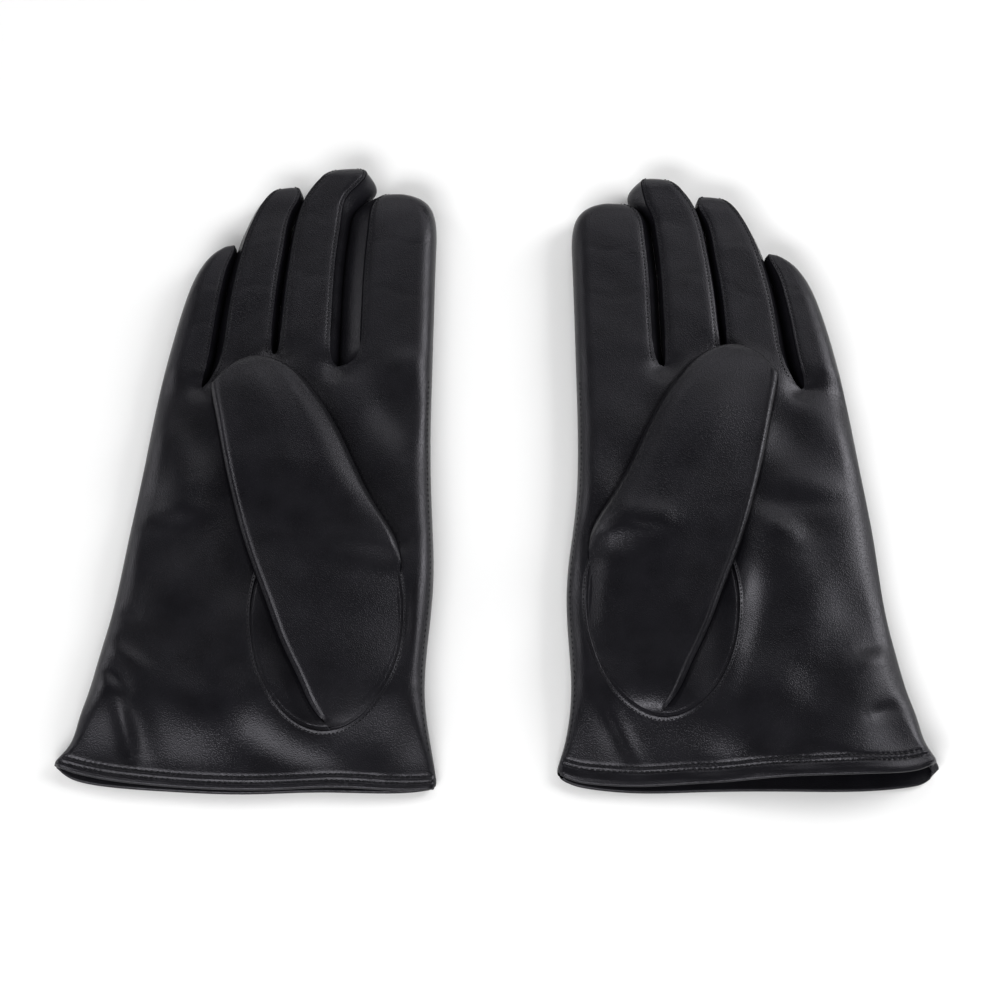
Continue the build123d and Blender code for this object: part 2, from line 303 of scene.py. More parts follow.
def palm_heights(plan, u, v):
    """Heights of the palm-side leather and of the back leather at plan points.

    Both start from a middle height. The palm side rises from it to the crown, folds and all, and the back falls
    from it to the floor, each times the round edge of both sides. Near the hem the cuff's opening replaces the
    crown."""
    low, high = plan.edges(v)
    full = ease(v / FULL_AT)
    tight = 0.32 + 0.68 * full
    edge = rounded(u - low, INDEX_ROUND * tight) * rounded(high - u, LITTLE_ROUND * tight)
    crown = lookup(CUFF[plan.hand], u) * (1 - full) + CROWN * full
    crown = crown - FALL[plan.hand] * full * (1 - np.clip((high - u) / FALL_REACH, 0, 1)) ** 2
    crown = crown + relief(plan.hand, u, v) * (0.35 + 0.65 * ease(v / 14)) - CROTCH_DIP * crotch_pull(plan, u, v)
    middle = 0.5 * (lookup(CUFF[plan.hand], u) * (1 - full) + CROWN * full)
    top = middle + (crown - middle) * edge
    under = middle - (middle - FLOOR_Z - 0.9 * crotch_pull(plan, u, v)) * edge
    return np.clip(top, 1.6, None), under


def place(plan, points):
    """Plan points (u, v, z) in millimetres as points of the row frame in metres."""
    points = np.asarray(points, float)
    x = plan.side * (HALF_GAP + points[..., 0])
    return np.stack([x, points[..., 1] - V_CENTRE, points[..., 2]], -1) * MM


def sheet_mesh(name, plan, grids, material, inward=False):
    """One object from grids of plan points (rows, columns, 3). Faces join neighbours in both directions, and
    face outwards where columns run left to right over the top and rows run from the hem to the tips."""
    corners, quads, start = [], [], 0
    for grid in grids:
        rows, columns = grid.shape[:2]
        index = start + np.arange(rows * columns).reshape(rows, columns)
        quad = np.stack([index[:-1, :-1], index[:-1, 1:], index[1:, 1:], index[1:, :-1]], -1).reshape(-1, 4)
        corners.append(place(plan, grid).reshape(-1, 3))
        quads.append(quad)
        start += rows * columns
    corners, quads = np.vstack(corners), np.vstack(quads)
    if (plan.side < 0) != inward:
        quads = quads[:, ::-1]
    mesh = bpy.data.meshes.new(name)
    mesh.vertices.add(len(corners))
    mesh.vertices.foreach_set("co", corners.astype(np.float32).ravel())
    mesh.loops.add(quads.size)
    mesh.loops.foreach_set("vertex_index", quads.astype(np.int32).ravel())
    mesh.polygons.add(len(quads))
    mesh.polygons.foreach_set("loop_start", np.arange(0, quads.size, 4, dtype=np.int32))
    mesh.polygons.foreach_set("use_smooth", np.ones(len(quads), bool))
    mesh.update(calc_edges=True)
    mesh.validate()
    mesh.materials.append(material)
    piece = bpy.data.objects.new(name, mesh)
    bpy.context.scene.collection.objects.link(piece)
    return piece


class Value:
    """A value in a shader: it takes Python's arithmetic, and feed() puts it or a plain value into a socket."""

    def __init__(self, tree, socket):
        self.tree, self.socket = tree, socket

    def feed(self, socket, value):
        if isinstance(value, Value):
            self.tree.links.new(value.socket, socket)
        else:
            socket.default_value = value

    def math(self, operation, *others, flip=False):
        node = self.tree.nodes.new("ShaderNodeMath")
        node.operation = operation
        terms = (self, *others)
        for socket, term in zip(node.inputs, reversed(terms) if flip else terms):
            self.feed(socket, term)
        return Value(self.tree, node.outputs[0])

    def node(self, kind, settings, inputs, output=0):
        """Another node: its settings by name, then its sockets by name."""
        node = self.tree.nodes.new(kind)
        for key, value in settings.items():
            setattr(node, key, value)
        for key, value in inputs.items():
            self.feed(node.inputs[key], value)
        return Value(self.tree, node.outputs[output])

    def band(self, low, high, out_low, out_high):
        """This value mapped smoothly from low..high to out_low..out_high, and held there."""
        return self.node("ShaderNodeMapRange", {"interpolation_type": "SMOOTHSTEP"},
                         {"Value": self, "From Min": low, "From Max": high, "To Min": out_low, "To Max": out_high})

    def noise(self, scale, detail=2.0, rough=0.5, warp=0.0):
        """Cloudy noise at this place."""
        return self.node("ShaderNodeTexNoise", {}, {"Vector": self, "Scale": scale, "Detail": detail,
                                                    "Roughness": rough, "Distortion": warp}, "Fac")

    def cells(self, scale, feature="F1"):
        """Distance within the cells of a random pattern."""
        return self.node("ShaderNodeTexVoronoi", {"feature": feature}, {"Vector": self, "Scale": scale}, "Distance")

    def __add__(self, other):
        return self.math("ADD", other)

    def __sub__(self, other):
        return self.math("SUBTRACT", other)

    def __mul__(self, other):
        return self.math("MULTIPLY", other)

    def __rsub__(self, other):
        return self.math("SUBTRACT", other, flip=True)

    __radd__, __rmul__ = __add__, __mul__


def new_material(name, **constants):
    """A material with one Principled shader. Returns it, its shader's sockets and the object's own place."""
    material = bpy.data.materials.new(name)
    material.use_nodes = True
    tree = material.node_tree
    shader = next(n for n in tree.nodes if n.type == "BSDF_PRINCIPLED")
    for key, value in constants.items():
        shader.inputs[key.replace("_", " ")].default_value = value
    where = tree.nodes.new("ShaderNodeTexCoord")
    return material, shader.inputs, Value(tree, where.outputs["Object"])


# The marks in the hide, as so many to a metre: pebbles, pores, wrinkles, clouds and patches of finish.
PEBBLES, PORES, WRINKLES, CLOUDS, PATCHES = 2000.0, 2600.0, 300.0, 95.0, 26.0
CREASE_SHADE_SPAN = 5.0                      # how far from a seam or a fold the painted crease shade reaches
CREASE_SHADE_RANGE = (0.35, 0.95, 0.85)       # the painted shade is full within the first distance, gone past the second; how dark, as its share in the mix
SHEEN_TINT = (0.93, 0.91, 1.0, 1.0)    # the dye gives the leather's sheen a faint violet cast


def leather(name, colour, worn, grain, gloss):
    """Smooth glove leather: fine pebbled grain, small wrinkles, patches of more and less sheen, and painted shade in
    its creases.
    """
    material, shader, here = new_material(name, Specular_IOR_Level=0.31, Coat_Weight=0.05, Coat_Roughness=0.3)
    pebble = here.cells(PEBBLES)
    fine = here.noise(PORES, 2.0)
    stretched = here.node("ShaderNodeMapping", {}, {"Vector": here, "Scale": (1.0, 2.6, 1.0)})
    wrinkle = stretched.noise(WRINKLES, 3.0, 0.6, 0.8)
    patch = here.noise(PATCHES, 2.0, 0.5, 0.4)
    cloud = here.noise(CLOUDS, 3.0)
    tone = here.node("ShaderNodeMix", {"data_type": "RGBA"},
                     {"Factor": (cloud * 0.5 + patch * 0.35 + pebble * 0.25).band(0.30, 0.80, 0.0, 1.0),
                      "A": (*colour, 1), "B": (*worn, 1)}, "Result")
    here.feed(shader["Base Color"], tone)
    shader["Specular Tint"].default_value = SHEEN_TINT
    rough = patch.band(0.3, 0.7, gloss + 0.05, gloss - 0.05) + (cloud - 0.5) * 0.10 + (pebble - 0.3) * 0.08
    here.feed(shader["Roughness"], rough)
    height = (1.0 - pebble.band(0.12, 0.62, 0.0, 1.0)) * grain + fine * (grain * 0.35) + wrinkle * (grain * 0.45)
    bump = here.node("ShaderNodeBump", {}, {"Strength": 1.0, "Distance": 0.001, "Height": height})
    here.feed(shader["Normal"], bump)
    # Painted shade: deep in a crease the leather is mixed towards a dull shader that takes no highlight, standing in
    # for the shade that falls there.
    near = here.node("ShaderNodeAttribute", {"attribute_name": "crease"}, {}, "Fac")
    painted_shade = near.band(CREASE_SHADE_SPAN - CREASE_SHADE_RANGE[1], CREASE_SHADE_SPAN - CREASE_SHADE_RANGE[0], 0.0, CREASE_SHADE_RANGE[2])
    shade_bsdf = here.node("ShaderNodeBsdfPrincipled", {},
                     {"Base Color": (*colour, 1), "Roughness": 1.0, "Specular IOR Level": 0.0}, "BSDF")
    leather_shader = Value(here.tree, shader["Base Color"].node.outputs["BSDF"])
    both = here.node("ShaderNodeMixShader", {}, {0: painted_shade, 1: leather_shader, 2: shade_bsdf}, "Shader")
    here.feed(next(n for n in here.tree.nodes if n.type == "OUTPUT_MATERIAL").inputs["Surface"], both)
    return material


black_leather = leather("black_glove_leather", (0.0022, 0.0021, 0.0030), (0.0062, 0.0060, 0.0080), 0.040, 0.335)


def edge_spaced(count, low=0.0, high=0.0):
    """count parts from 0 to 1, drawn in towards 0 by low and towards 1 by high."""
    x = np.linspace(0, 1, count)
    wave = np.sin(2 * np.pi * x)
    return x - low * wave / (2 * np.pi) * (x < 0.5) - high * wave / (2 * np.pi) * (x >= 0.5)


COLUMNS = {
    "index": edge_spaced(FINGER_COLUMNS, low=0.75),
    "middle": edge_spaced(FINGER_COLUMNS),
    "ring": edge_spaced(FINGER_COLUMNS),
    "little": edge_spaced(FINGER_COLUMNS, high=0.75),
}


def palm_rows(plan, parts, edge):
    """u and v of one side of the trank, a row for each part 0 to 1 of the way from the hem to the fingers."""
    line = [plan.base[k] + COLUMNS[name][:, None] * (plan.base[k + 1] - plan.base[k])
            for k, name in enumerate(FINGERS)]
    line = np.vstack([line[0]] + [part[1:] for part in line[1:]])
    low, high = plan.edges(line[:, 1])
    across = (line[:, 0] - low) / (high - low)
    hem_v = np.full(len(line), 4.0)
    for _ in range(6):
        low, high = plan.edges(hem_v)
        hem_v = 0.5 * hem_v + 0.5 * lookup(edge[plan.hand], low + across * (high - low))
    v = hem_v + parts[:, None] * (line[:, 1] - hem_v)
    low, high = plan.edges(v)
    return low + across * (high - low), v


def trank_loop(plan, parts):
    """Plan points round the trank, palm side then back, a row for each part of the way from the hem.

    The heights are the palm's. Each row of stitching pulls a groove exp(-(d/w)^2) into them, deeper and
    shallower along its length, and the leather swells between the rows. The cuff's corners are drawn in."""
    halves = []
    for side, edge in enumerate((HEM_EDGE, BACK_EDGE)):
        u, v = palm_rows(plan, parts, edge)
        z = palm_heights(plan, u, v)[side]
        up = 1 if side == 0 else -1
        from_edge = v - lookup(edge[plan.hand], u)
        first, second = STITCH_ROWS[plan.hand]
        wave = 1 + 0.45 * np.sin(2 * np.pi * u / PUCKER_PITCH + 0.8 * np.sin(u))
        pull = (np.exp(-(((from_edge - first) / 0.55) ** 2))
                + 0.8 * np.exp(-(((from_edge - second) / 0.6) ** 2))) * wave
        swell = (np.exp(-(((from_edge - (first + second) / 2) / 0.7) ** 2))
                 + 0.8 * np.exp(-(((from_edge - 1.2) / 1.1) ** 2)))
        low, high = plan.edges(v)
        turned = 1 - rounded(from_edge, CORNER)
        u = u - turned * (0.55 * CORNER * ease(1 - (high - u) / 12) - 0.35 * CORNER * ease(1 - (u - low) / 12))
        inside = ease((u - low) / 2.5) * ease((high - u) / 2.5)
        z = z + up * inside * (0.55 * PUCKER * swell - PUCKER * pull) * (1 if side == 0 else 0.3)
        halves.append(np.stack([u, v, z], -1))
    return np.concatenate([halves[0], halves[1][:, ::-1][:, 1:]], axis=1)


def inward(loop):
    """The direction into the glove across each row of a loop: its tangent in u and z, turned a quarter."""
    along = np.gradient(loop, axis=1)[..., (0, 2)]
    along /= np.linalg.norm(along, axis=-1)[..., None] + 1e-9
    return np.stack([along[..., 1], np.zeros(loop.shape[:2]), -along[..., 0]], -1)


HEM_PART = 0.07         # the part of the trank with the hem's two rows of stitching, in closer rows of points
hem_rows = np.linspace(0, HEM_PART, 26)
ROW_PARTS = np.concatenate([hem_rows, np.linspace(HEM_PART, 1, ROWS - len(hem_rows) + 1)[1:]])
tranks = {}
for hand, plan in PLANS.items():
    trank = sheet_mesh(f"{hand}_trank_leather", plan, [trank_loop(plan, ROW_PARTS)], black_leather)
    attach(trank, f"{hand}_palm")
    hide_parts(f"{hand}_trank")
    tranks[hand] = trank

# ------------------------------------------------------------------ the hem
# The trank's edge at the cuff is turned in to a soft roll and lies flat inside, as a facing that holds the
# lining's mouth. It is the same leather, held by the two rows of stitching round the cuff.
HEM_RADIUS = 0.85       # of the turned edge
HEM_DEPTH = 12.0        # how far the turned leather reaches inside
ROLL_STEPS = 9
PALM_LENGTH = 160.0     # hem to fingers, nearly
for hand, plan in PLANS.items():
    inside = np.array([0.0, 0.5, 1.5, 3.0, 5.0, 7.0, 9.0, 11.0, HEM_DEPTH]) / PALM_LENGTH
    loop = trank_loop(plan, inside)
    into = inward(loop)
    turn = np.linspace(0, np.pi, ROLL_STEPS)[:, None, None]
    roll = loop[:1] + HEM_RADIUS * (1 - np.cos(turn)) * into[:1]
    roll[..., 1] -= HEM_RADIUS * np.sin(turn[..., 0])
    lap = (loop - 0.03 * into)[1:2]
    facing = (loop + 2 * HEM_RADIUS * into)[1:]
    # Rows run from the inside out and back over the edge, so they face out of the leather on both sides.
    band = np.concatenate([facing[::-1], roll[::-1], lap])
    hem = sheet_mesh(f"{hand}_hem_turning", plan, [band], black_leather)
    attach(hem, f"{hand}_palm")
    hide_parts(f"{hand}_hem")

# ------------------------------------------------------------------ the linings
# A thin, matt, knitted lining fills the palm, every finger and the thumb. It is its own soft tube, caught in
# under the turned hem and free of the leather elsewhere.
LINING_GAP = 1.25       # from the outside of the leather to the outside of the lining
LINING_SIDE = 0.045     # how far the lining stands in from the sides, as a part of the width
LINING_ROWS, LINING_COLUMNS = 80, 60


def knit(name, colour):
    """Fine dark knit: rows of small loops over a soft, matt, slightly fuzzy cloth."""
    material, shader, here = new_material(name, Roughness=0.9, Specular_IOR_Level=0.2, Sheen_Weight=0.3)
    loops = here.node("ShaderNodeTexWave", {"wave_type": "BANDS", "bands_direction": "X"},
                      {"Vector": here, "Scale": 420.0, "Distortion": 2.0, "Detail": 1.0}, "Fac")
    ribs = here.node("ShaderNodeTexWave", {"wave_type": "BANDS", "bands_direction": "Y"},
                     {"Vector": here, "Scale": 300.0, "Distortion": 1.0, "Detail": 1.0}, "Fac")
    weave = loops * ribs
    fuzz = here.noise(900.0, 3.0)
    tone = here.node("ShaderNodeMix", {"data_type": "RGBA"},
                     {"Factor": weave * 0.6 + fuzz * 0.4, "A": (*colour, 1), "B": (*[c * 2.2 for c in colour], 1)},
                     "Result")
    here.feed(shader["Base Color"], tone)
    bump = here.node("ShaderNodeBump", {}, {"Strength": 0.6, "Distance": 0.0004, "Height": weave + fuzz * 0.4})
    here.feed(shader["Normal"], bump)
    return material


black_knit = knit("black_lining_knit", (0.006, 0.006, 0.0075))


def closed_tube(top, under):
    """A loop of columns over a top grid and back along an under grid, closed at its first column."""
    return np.concatenate([top, under[:, ::-1], top[:, :1]], axis=1)


for hand, plan in PLANS.items():
    across = np.linspace(LINING_SIDE, 1 - LINING_SIDE, LINING_COLUMNS)
    part = np.linspace(0, 1, LINING_ROWS)[:, None]
    reach = resample(plan.base, across)[:, 1]
    v = HEM_DEPTH + 1 + part * (reach - 3 - HEM_DEPTH)
    low, high = plan.edges(v)
    u = low + across * (high - low)
    top, under = palm_heights(plan, u, v)
    gap = np.minimum(LINING_GAP, 0.3 * (top - under))
    tube = closed_tube(np.stack([u, v, top - gap], -1), np.stack([u, v, under + gap], -1))
    lining = sheet_mesh(f"{hand}_palm_knit", plan, [tube], black_knit)
    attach(lining, f"{hand}_palm")
    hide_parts(f"{hand}_palm_lining")

# ------------------------------------------------------------------ the fingers
# Each finger is the trank's palm side and back carried on as two strips, joined by fourchettes: narrow side
# walls of the same leather, sewn in between neighbouring fingers. Empty, a finger lies as a flattened tube.
FINGER_ROWS = 96
SEAM_Z = 12.75          # height of the palm-side seams
UNDER_SEAM_Z = 1.7      # height of the back seams, and how far they stand in, as a part of the width
UNDER_SEAM_IN = 0.05
MIDDLE_Z = 6.9          # height of a finger's widest line
FINGER_CROWN = {"index": 13.5, "middle": 13.6, "ring": 13.3, "little": 12.9}
STRIP_ROUND = 4.4       # rounding of the strips towards their seams
SEAM_GROOVE = 0.16      # depth the stitching pulls a strip down, and its distance from the seam
SEAM_LIP = 1.3
WALL_COLUMNS = 12
JOIN = 12.0             # length over which a finger takes its own section
CROTCH_OPEN = 8.0       # length over which the seams part from a crotch, in a U
TIP_FROM = 0.62         # part of a finger where its tip starts to close
TIP_SWELL = {"right": (0.13, 0.79), "left": (0.20, 0.85)}     # of the middle finger's side, and where along it
SEAM_FADE = (0.83, 0.13)     # where along the right middle finger its seam runs out to the side, and over what part
# How far each finger's palm-side seams stand in from its sides, low and high, as parts of its width.
SEAM_IN = {
    "right": {"index": (0, 0.23), "middle": (0.13, 0.08), "ring": (0.06, 0.15), "little": (0.06, 0)},
    "left": {"index": (0, 0.11), "middle": (0.04, 0.07), "ring": (0.05, 0.12), "little": (0.15, 0)},
}


class Stall:
    """One finger of one glove: rows of plan points across it, from its base to its apex."""

    def __init__(self, plan, name):
        self.plan, self.name = plan, name
        along = np.linspace(0, 1, FINGER_ROWS)
        along = along + 0.12 * np.sin(np.pi * along) * along
        along = along / along[-1] * 0.9985
        low, high = (resample(side, along) for side in plan.finger_sides[name])
        self.low, self.high = low, high
        self.width = np.linalg.norm(high - low, axis=1)
        middle = (low + high) / 2
        self.run = np.concatenate([[0], np.cumsum(np.linalg.norm(np.diff(middle, axis=0), axis=1))])
        at_tip = along > TIP_FROM
        reference = self.width[np.argmax(at_tip)]
        self.close = np.where(at_tip, np.clip(self.width / reference, 0, 1) ** 0.62, 1.0)
        opened = rounded(self.run, CROTCH_OPEN)
        seam_low, seam_high = SEAM_IN[plan.hand][name]
        self.seam_low, self.seam_high = seam_low * opened, seam_high * opened
        if name == "middle":                         # its side swells round the index fingertip; its seam does not
            swell, near_tip = TIP_SWELL[plan.hand]
            self.seam_low = self.seam_low + swell * np.exp(-(((along - near_tip) / 0.09) ** 2))
            if plan.hand == "right":
                self.seam_low = self.seam_low * (1 - ease((along - SEAM_FADE[0]) / SEAM_FADE[1]))
        self.outer_low, self.outer_high = name == "index", name == "little"
        self.joined = ease(self.run / JOIN)

    def across(self, part):
        """Plan points at parts (rows, columns) of the way across each row."""
        return self.low[:, None] + part[..., None] * (self.high - self.low)[:, None]

    def strip(self, columns, top):
        """The points of the palm-side or back strip, with `columns` as parts of the way between its seams.

        From a middle height the strip rises or falls to its crown by its edge profiles, closes to the middle
        height at the tip by `close`, and meets the palm's own heights at the base by `joined`."""
        if top:
            first, last = self.seam_low, 1 - self.seam_high
        else:
            inset = UNDER_SEAM_IN * ease(self.run / 9.0)
            first = inset * (not self.outer_low)
            last = 1 - inset * (not self.outer_high)
        part = first[:, None] + columns * (last - first)[:, None]
        plan_points = self.across(part)
        strip_width = self.width[:, None] * (part[:, -1:] - part[:, :1])
        from_low = self.width[:, None] * (part - part[:, :1])
        from_high = strip_width - from_low
        reach_low = np.minimum(INDEX_ROUND if self.outer_low else STRIP_ROUND, 0.48 * strip_width + 1e-6)
        reach_high = np.minimum(LITTLE_ROUND if self.outer_high else STRIP_ROUND, 0.48 * strip_width + 1e-6)
        crown = FINGER_CROWN[self.name]
        if top:
            side_low = MIDDLE_Z if self.outer_low else SEAM_Z
            side_high = MIDDLE_Z if self.outer_high else SEAM_Z
            centre = crown + self.folds(plan_points)
        else:
            side_low = MIDDLE_Z if self.outer_low else UNDER_SEAM_Z
            side_high = MIDDLE_Z if self.outer_high else UNDER_SEAM_Z
            centre = np.full(part.shape, FLOOR_Z)
        z = (centre - (centre - side_low) * (1 - self.profile(from_low, reach_low, self.outer_low))
             - (centre - side_high) * (1 - self.profile(from_high, reach_high, self.outer_high)))
        if top:
            for distance, outer in ((from_low, self.outer_low), (from_high, self.outer_high)):
                if not outer:
                    z = z - SEAM_GROOVE * np.exp(-(((distance - SEAM_LIP) / 0.4) ** 2))
        z = MIDDLE_Z + (z - MIDDLE_Z) * self.close[:, None]
        palm = palm_heights(self.plan, plan_points[..., 0], plan_points[..., 1])[0 if top else 1]
        z = palm + (z - palm) * self.joined[:, None]
        return np.concatenate([plan_points, z[..., None]], -1)

    @staticmethod
    def profile(distance, reach, outer):
        """How far a strip has risen from its edge: a full round at the glove's side, a softer one at a seam."""
        x = np.clip(distance / reach, 0, 1)
        return np.sqrt(np.clip(1 - (1 - x) ** 2, 0, 1)) if outer else 1 - (1 - x) ** 2.2

    def folds(self, points):
        """Small cross folds and swells in the palm side of the finger."""
        u, v = points[..., 0], points[..., 1]
        phase = FINGERS.index(self.name) * 1.7 + (0 if self.plan.hand == "left" else 2.1)
        length = self.run[:, None] / self.run[-1]
        swell = 0.12 * np.sin(2 * np.pi * (1.3 * length + 0.012 * u) + phase)
        crease = -0.06 * np.exp(-((length - 0.42 - 0.02 * np.sin(0.3 * u + phase)) / 0.02) ** 2)
        crease += -0.05 * np.exp(-((length - 0.70 - 0.015 * np.sin(0.35 * u + phase)) / 0.018) ** 2)
        return swell + crease + 0.025 * np.sin(0.45 * v + 0.25 * u + phase)

    def from_seams(self, grid):
        """Twice the distance of a grid's points from the finger's palm-side seams, measured across each row."""
        edges = self.strip(np.array([0.0, 1.0]), True)
        far = np.full(grid.shape[:2], CREASE_SHADE_SPAN)
        for column, outer in ((0, self.outer_low), (1, self.outer_high)):
            if not outer:
                away = np.linalg.norm(grid - edges[:, column][:, None], axis=-1)
                far = np.minimum(far, 2 * away + CREASE_SHADE_SPAN * (1 - self.joined[:, None]))
        return far

    def wall(self, high):
        """A fourchette: from the palm-side seam, out to the finger's side and down to the back seam.

        Across, it is the curve (1-r)^2 a + 2 r (1-r) b + r^2 c, with a and c at the seams and b placed so that
        the curve just reaches the finger's side."""
        r = np.linspace(0, 1, WALL_COLUMNS)[None, :]
        seam = (self.seam_high if high else self.seam_low)[:, None]
        under = (UNDER_SEAM_IN * ease(self.run / 9.0))[:, None]
        out = -(seam + under) * 0.45
        bow = r**1.25
        inset = (1 - bow) ** 2 * seam + 2 * bow * (1 - bow) * out + bow**2 * under
        points = self.across(1 - inset if high else inset)
        column = -1 if high else 0
        top = self.strip(np.array([0.0, 1.0]), True)[:, column, 2][:, None]
        low = self.strip(np.array([0.0, 1.0]), False)[:, column, 2][:, None]
        z = (1 - r) ** 2 * top + 2 * r * (1 - r) * ((top + low) / 2) + r**2 * low
        grid = np.concatenate([points, z[..., None]], -1)
        return grid if high else grid[:, ::-1]


def pivot(hand, joint):
    """A joint's place and axis in the row frame."""
    found = next(j for j in frame["joints"] if j["name"] == f"{hand}_{joint}")
    return Vector(found["pos_m"]), Vector(found["axis"])


FOURCHETTES = {
    "index": {"high": "index_fourchette"},
    "middle": {"low": "middle_fourchette_low", "high": "middle_fourchette_high"},
    "ring": {"low": "ring_fourchette_low", "high": "ring_fourchette_high"},
    "little": {"low": "little_fourchette"},
}
stalls = {}


def mark_crease_shade(piece, *distances):
    """Tells the leather how near each point is to a crease, as the shade's reach less the distance, and not under 0;
    the leather paints shade there.
    """
    near = np.concatenate([np.clip(CREASE_SHADE_SPAN - d, 0, None).ravel() for d in distances])
    marks = piece.data.attributes.new("crease", "FLOAT", "POINT")
    marks.data.foreach_set("value", near.astype(np.float32))


def bend_at_knuckle(piece, hand, name):
    """Bakes a piece's placement into its mesh; the knuckle's place and axis are looked up, but the piece is not bent.
    """
    place_, axis = pivot(hand, f"{name}_knuckle")
    along = Vector((0, 0, 1)).cross(axis).normalized()
    along = along if along.y > 0 else -along
    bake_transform(piece)


for hand, plan in PLANS.items():
    for name in FINGERS:
        stall = stalls[hand, name] = Stall(plan, name)
        top = stall.strip(COLUMNS[name], True)
        under = stall.strip(COLUMNS[name], False)[:, ::-1]
        grids = [np.concatenate([top, under[:, 1:]], axis=1)] if name == "little" else [top, under]
        piece = sheet_mesh(f"{hand}_{name}_finger_leather", plan, grids, black_leather)
        # Painted shade along the finger's palm-side seams.
        mark_crease_shade(piece, *[stall.from_seams(grid) for grid in grids])
        bend_at_knuckle(piece, hand, name)
        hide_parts(f"{hand}_{name}_leather")
        for side, node in FOURCHETTES[name].items():
            grid = stall.wall(side == "high")
            wall = sheet_mesh(f"{hand}_{node}_strip", plan, [grid], black_leather)
            # Painted shade along the fourchette's palm-side seam.
            mark_crease_shade(wall, stall.from_seams(grid))
            bend_at_knuckle(wall, hand, name)
            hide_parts(f"{hand}_{node}")

for (hand, name), stall in stalls.items():
    kept = stall.width > 7.0
    across = np.linspace(0.13, 0.87, 18)
    ends = np.concatenate([[0.0], across, [1.0]])
    top, under = stall.strip(ends, True)[kept, 1:-1], stall.strip(ends, False)[kept, 1:-1]
    thick = np.minimum(LINING_GAP, 0.3 * (top[..., 2] - under[..., 2]))
    top[..., 2] -= thick
    under[..., 2] += thick
    lining = sheet_mesh(f"{hand}_{name}_knit", stall.plan, [closed_tube(top, under)], black_knit)
    bend_at_knuckle(lining, hand, name)
    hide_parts(f"{hand}_{name}_lining")

# ------------------------------------------------------------------ the stitching
# Every seam is sewn through both leathers with fine polished black thread, in short even stitches sunk a little
# into the leather. Each stitch is one short length of thread that dives in at both ends.
STITCH_RINGS = np.array([[-1, 0.15, -0.8], [-0.8, 0.75, -0.25], [-0.35, 1, 0.05], [0.35, 1, 0.05],
                         [0.8, 0.75, -0.25], [1, 0.15, -0.8]])     # place along, radius, height, as parts
STITCH_SIDES = 7


def thread(name, colour):
    """Polished thread: dark, with the fine slanting ridges of its twist."""
    material, shader, here = new_material(name, Roughness=0.55, Specular_IOR_Level=0.16)
    fuzz = here.noise(1500.0, 2.0)
    tone = here.node("ShaderNodeMix", {"data_type": "RGBA"},
                     {"Factor": fuzz, "A": (*colour, 1), "B": (*[c * 2.5 for c in colour], 1)}, "Result")
    here.feed(shader["Base Color"], tone)
    twist = here.node("ShaderNodeTexWave", {"wave_type": "BANDS", "bands_direction": "DIAGONAL"},
                      {"Vector": here, "Scale": 1200.0, "Distortion": 1.0}, "Fac")
    bump = here.node("ShaderNodeBump", {}, {"Strength": 0.5, "Distance": 0.0001, "Height": twist})
    here.feed(shader["Normal"], bump)
    return material


black_thread = thread("black_polished_thread", (0.004, 0.004, 0.005))


def stitches(name, plan, paths, up, pitch, length, radius):
    """Short stitches along plan paths, as one object.

    Stitch i stands at (i + 1/2) pitch along its path. Its surface is c + t a l/2 + r b (s cos g + n sin g) + n r h
    for each ring (a, b, h) of STITCH_RINGS, with t along the path, n the way it faces and s = n x t."""
    grids = []
    for path, face in zip(paths, up):
        run = np.concatenate([[0], np.cumsum(np.linalg.norm(np.diff(path, axis=0), axis=1))])
        at = np.arange(pitch / 2, run[-1], pitch)
        centre = np.stack([np.interp(at, run, path[:, k]) for k in range(3)], -1)
        ahead = np.stack([np.interp(at + 0.3, run, path[:, k]) for k in range(3)], -1)
        behind = np.stack([np.interp(at - 0.3, run, path[:, k]) for k in range(3)], -1)
        t = ahead - behind
        t /= np.linalg.norm(t, axis=1)[:, None] + 1e-9
        n = np.broadcast_to(np.asarray(face, float), t.shape)
        s = np.cross(n, t)
        s /= np.linalg.norm(s, axis=1)[:, None] + 1e-9
        n = np.cross(t, s)
        g = np.linspace(0, 2 * np.pi, STITCH_SIDES)[None, None, :, None]
        a, b, h = (STITCH_RINGS[:, k][None, :, None, None] for k in range(3))
        t, n, s, c = (w[:, None, None, :] for w in (t, n, s, centre))
        shape = c + t * a * length / 2 + radius * b * (s * np.cos(g) + n * np.sin(g)) + n * radius * h
        grids.extend(shape)
    return sheet_mesh(name, plan, grids, black_thread)


SEAM_PITCH, SEAM_STITCH, SEAM_THREAD = 1.5, 1.05, 0.2
for (hand, name), stall in stalls.items():
    width = stall.width * (1 - stall.seam_low - stall.seam_high)
    inside = SEAM_LIP / np.maximum(np.median(width), 8)
    lines = stall.strip(np.array([0.0, inside, 1 - inside, 1.0]), True)
    kept = (stall.run > 1.5) & (stall.width > 8)
    paths = []
    if name != "index":
        paths.append(lines[kept, 1])
    if name != "little":
        paths.append(lines[kept, 2])
    for path in paths:
        path[:, 2] += 0.08
    seam = stitches(f"{hand}_{name}_seam_thread", stall.plan, paths, [(0, 0, 1)] * len(paths),
                    SEAM_PITCH, SEAM_STITCH, SEAM_THREAD)
    bend_at_knuckle(seam, hand, name)
    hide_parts(f"{hand}_{name}_stitching")

